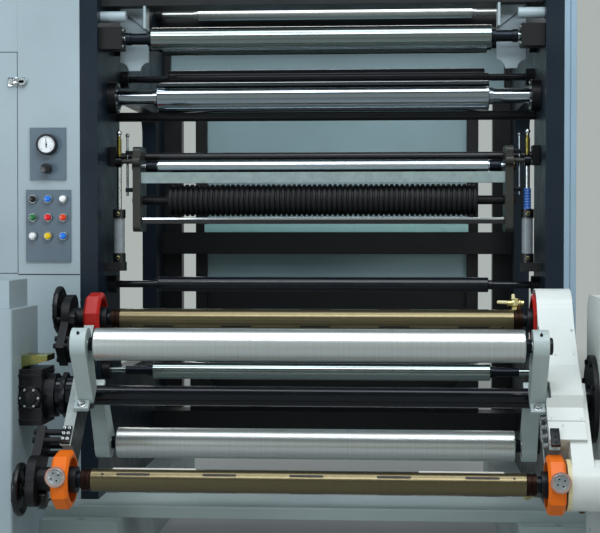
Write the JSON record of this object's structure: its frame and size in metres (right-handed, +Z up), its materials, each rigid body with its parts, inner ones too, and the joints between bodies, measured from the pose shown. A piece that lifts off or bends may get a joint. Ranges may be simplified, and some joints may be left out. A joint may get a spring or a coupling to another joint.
{
  "type": "rotogravure press turret winding unit",
  "caption": "Turret winding unit of a gravure press: air shafts in safety chucks on a turning turret, in front of a roller frame with a swinging press arm.",
  "frame": {"origin": "on the floor, at the middle of the four anchor bolts of the roller frame", "axes": "+X across the web to the right, +Y away from the operator, +Z up"},
  "size_m": [2.429, 2.3124, 2.1],
  "materials": {
    "wallboard_paint": "satin",
    "grey_paint": "satin",
    "white_paint": "satin",
    "dark_paint": "satin",
    "black_iron": "satin",
    "chrome": "polished",
    "ground_steel": "ground",
    "dark_roller_coat": "gloss",
    "turned_aluminium": "turned",
    "bronze_anodised": "anodised",
    "black_rubber": "matt",
    "orange_paint": "satin",
    "black_plastic": "matt",
    "yellow_zinc": "zinc plated",
    "plate_paint": "satin",
    "gauge_black": "gloss",
    "button_plastic": "gloss"
  },
  "bodies": {
    "machine_frame": {"left_wallboard": "wallboard_paint", "right_wallboard": "wallboard_paint", "feet": "grey_paint", "base_plate": "grey_paint", "front_top_beam": "dark_paint", "rear_top_beam": "dark_paint", "rear_low_beam": "dark_paint", "beam_hangers": "grey_paint", "top_spacers": "grey_paint", "tie_rod": "dark_paint", "rear_posts": "dark_paint", "rear_panel": "grey_paint", "rear_guard": "dark_paint", "rear_cross_bar": "dark_paint", "edge_duct": "grey_paint", "roller_bearings": "black_iron", "press_arm_bearings": "black_iron", "air_cylinders": "turned_aluminium", "left_stand": "grey_paint", "right_stand": "white_paint", "bearing_flange": "black_iron", "turret_gearbox": "black_iron", "gearbox_bracket": "yellow_zinc", "control_column": "grey_paint", "electrical_cabinet": "grey_paint", "cabinet_plinth": "grey_paint", "instrument_plates": "plate_paint", "pressure_gauge": "gauge_black", "push_buttons": "button_plastic"},
    "cabinet_door": {"cabinet_door": "grey_paint", "door_latch": "chrome"},
    "press_arm": {"press_arm_plates": "dark_paint", "press_arm_bars": "dark_paint"},
    "turret": {"turret_shaft": "dark_paint", "turret_arms": "dark_paint", "guide_arms": "grey_paint", "chuck_housings": "black_iron", "turret_gear_cover": "white_paint"},
    "front_air_shaft": {"front_air_shaft": "bronze_anodised", "front_chucks": "orange_paint", "front_chuck_sockets": "black_iron"},
    "rear_air_shaft": {"rear_air_shaft": "bronze_anodised", "rear_chucks": "orange_paint", "rear_chuck_sockets": "black_iron"},
    "chrome_roller": {"chrome_roller": "chrome"},
    "upper_roller": {"upper_roller": "ground_steel"},
    "thin_idler_roller": {"thin_idler_roller": "ground_steel"},
    "dark_idler_roller": {"dark_idler_roller": "dark_roller_coat"},
    "black_idler_roller": {"black_idler_roller": "dark_roller_coat"},
    "low_idler_roller": {"low_idler_roller": "ground_steel"},
    "far_idler_roller": {"far_idler_roller": "ground_steel"},
    "press_steel_roller": {"press_steel_roller": "ground_steel"},
    "press_rubber_roller": {"press_rubber_roller": "black_rubber"},
    "left_cylinder_rod": {"left_cylinder_rod": "chrome"},
    "right_cylinder_rod": {"right_cylinder_rod": "chrome"},
    "front_guide_roller": {"front_guide_roller": "turned_aluminium"},
    "rear_guide_roller": {"rear_guide_roller": "turned_aluminium"},
    "front_handwheel": {"front_handwheel": "black_plastic"},
    "rear_handwheel": {"rear_handwheel": "black_plastic"}
  },
  "joints": [
    {"name": "chrome_roller_turn", "type": "hinge", "parent": "machine_frame", "child": "chrome_roller", "pos_m": [0, -0.506, 1.563], "axis": [1, 0, 0], "continuous": true},
    {"name": "upper_roller_turn", "type": "hinge", "parent": "machine_frame", "child": "upper_roller", "pos_m": [0, -0.638, 1.742], "axis": [1, 0, 0], "continuous": true},
    {"name": "thin_idler_roller_turn", "type": "hinge", "parent": "machine_frame", "child": "thin_idler_roller", "pos_m": [0, -0.4, 1.748], "axis": [1, 0, 0], "continuous": true},
    {"name": "dark_idler_roller_turn", "type": "hinge", "parent": "machine_frame", "child": "dark_idler_roller", "pos_m": [0, -0.28, 1.649], "axis": [1, 0, 0], "continuous": true},
    {"name": "black_idler_roller_turn", "type": "hinge", "parent": "machine_frame", "child": "black_idler_roller", "pos_m": [0, -0.51, 0.936], "axis": [1, 0, 0], "continuous": true},
    {"name": "low_idler_roller_turn", "type": "hinge", "parent": "machine_frame", "child": "low_idler_roller", "pos_m": [0, -0.62, 0.655], "axis": [1, 0, 0], "continuous": true},
    {"name": "far_idler_roller_turn", "type": "hinge", "parent": "machine_frame", "child": "far_idler_roller", "pos_m": [0, 0.45, 1.992], "axis": [1, 0, 0], "continuous": true},
    {"name": "press_arm_swing", "type": "hinge", "parent": "machine_frame", "child": "press_arm", "pos_m": [0, -0.47, 1.367], "axis": [-1, 0, 0], "range_deg": [0, 24]},
    {"name": "left_rod_slide", "type": "slide", "parent": "machine_frame", "child": "left_cylinder_rod", "axis": [0, 0, 1], "range_m": [0, 0.04158]},
    {"name": "right_rod_slide", "type": "slide", "parent": "machine_frame", "child": "right_cylinder_rod", "axis": [0, 0, 1], "range_m": [0, 0.04158]},
    {"name": "press_steel_roller_turn", "type": "hinge", "parent": "press_arm", "child": "press_steel_roller", "pos_m": [0, -0.51, 1.332], "axis": [1, 0, 0], "continuous": true},
    {"name": "press_rubber_roller_turn", "type": "hinge", "parent": "press_arm", "child": "press_rubber_roller", "pos_m": [0, -0.504, 1.218], "axis": [1, 0, 0], "continuous": true},
    {"name": "turret_turn", "type": "hinge", "parent": "machine_frame", "child": "turret", "pos_m": [0, -1.14, 0.631], "axis": [1, 0, 0], "continuous": true},
    {"name": "front_air_shaft_turn", "type": "hinge", "parent": "turret", "child": "front_air_shaft", "pos_m": [0, -1.35213, 0.41887], "axis": [1, 0, 0], "continuous": true},
    {"name": "rear_air_shaft_turn", "type": "hinge", "parent": "turret", "child": "rear_air_shaft", "pos_m": [0, -0.92787, 0.84313], "axis": [1, 0, 0], "continuous": true},
    {"name": "front_guide_roller_turn", "type": "hinge", "parent": "turret", "child": "front_guide_roller", "pos_m": [0, -1.30263, 0.79363], "axis": [1, 0, 0], "continuous": true},
    {"name": "rear_guide_roller_turn", "type": "hinge", "parent": "turret", "child": "rear_guide_roller", "pos_m": [0, -0.97737, 0.46836], "axis": [1, 0, 0], "continuous": true},
    {"name": "front_handwheel_turn", "type": "hinge", "parent": "turret", "child": "front_handwheel", "pos_m": [0, -1.37688, 0.39412], "axis": [1, 0, 0], "continuous": true},
    {"name": "rear_handwheel_turn", "type": "hinge", "parent": "turret", "child": "rear_handwheel", "pos_m": [0, -0.90312, 0.86788], "axis": [1, 0, 0], "continuous": true},
    {"name": "cabinet_door_swing", "type": "hinge", "parent": "machine_frame", "child": "cabinet_door", "pos_m": [-1.32, -0.693, 1.3355], "axis": [0, 0, -1], "range_deg": [0, 110]}
  ],
  "couplings": [
    {"joint": "left_rod_slide", "follows": "press_arm_swing", "m_per_rad": 0.099271},
    {"joint": "right_rod_slide", "follows": "press_arm_swing", "m_per_rad": 0.099271}
  ]
}
